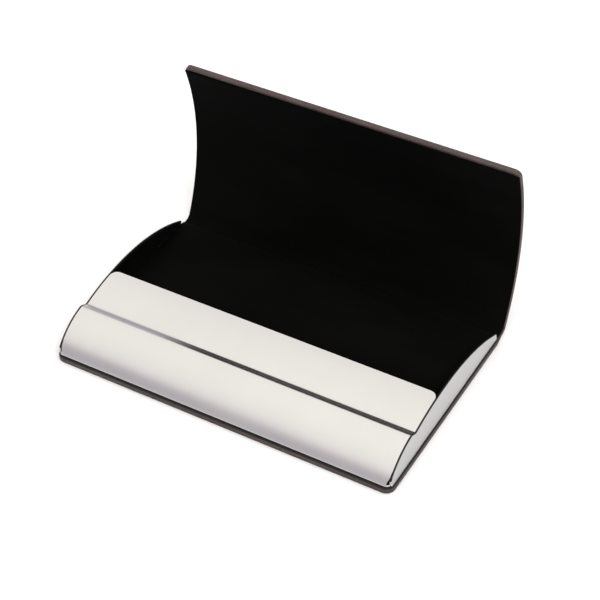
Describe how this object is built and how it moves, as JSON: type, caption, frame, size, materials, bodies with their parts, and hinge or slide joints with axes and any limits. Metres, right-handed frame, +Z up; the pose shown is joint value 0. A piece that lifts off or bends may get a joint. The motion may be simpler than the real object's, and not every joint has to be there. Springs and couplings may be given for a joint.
{
  "type": "business card case",
  "caption": "Slim hinged card case: satin steel tray with a front retaining panel, leather-covered base and curved lid, black velvet lining.",
  "frame": {"origin": "centre of the flat underside of the base, which lies on the table", "axes": "+X along the case's length, +Y from the front edge towards the hinge, +Z up out of the tray"},
  "size_m": [0.0942, 0.069, 0.048],
  "materials": {
    "leather": "fine-grained dark taupe leather",
    "board": "black stiffener board",
    "satin_steel": "satin stainless steel",
    "plate_steel": "plain steel plate",
    "magnet": "flexible magnet strip",
    "velvet": "short-pile black velvet"
  },
  "bodies": {
    "base": {"base_leather": "leather", "base_board": "board", "tray_shell": "satin_steel", "tray_floor_lining": "velvet", "end_lining_left": "velvet", "end_lining_right": "velvet", "hinge_leather": "leather", "hinge_lining": "velvet"},
    "lid": {"lid_leather": "leather", "lid_plate": "plate_steel", "lid_magnet_strip": "magnet", "lid_lining": "velvet"}
  },
  "joints": [
    {"name": "lid_hinge", "type": "hinge", "parent": "base", "child": "lid", "pos_m": [0, 0.03168, 0.00144], "axis": [1, 0, 0], "range_deg": [-60, 87.2], "deforming": ["hinge_leather", "hinge_lining"]}
  ]
}
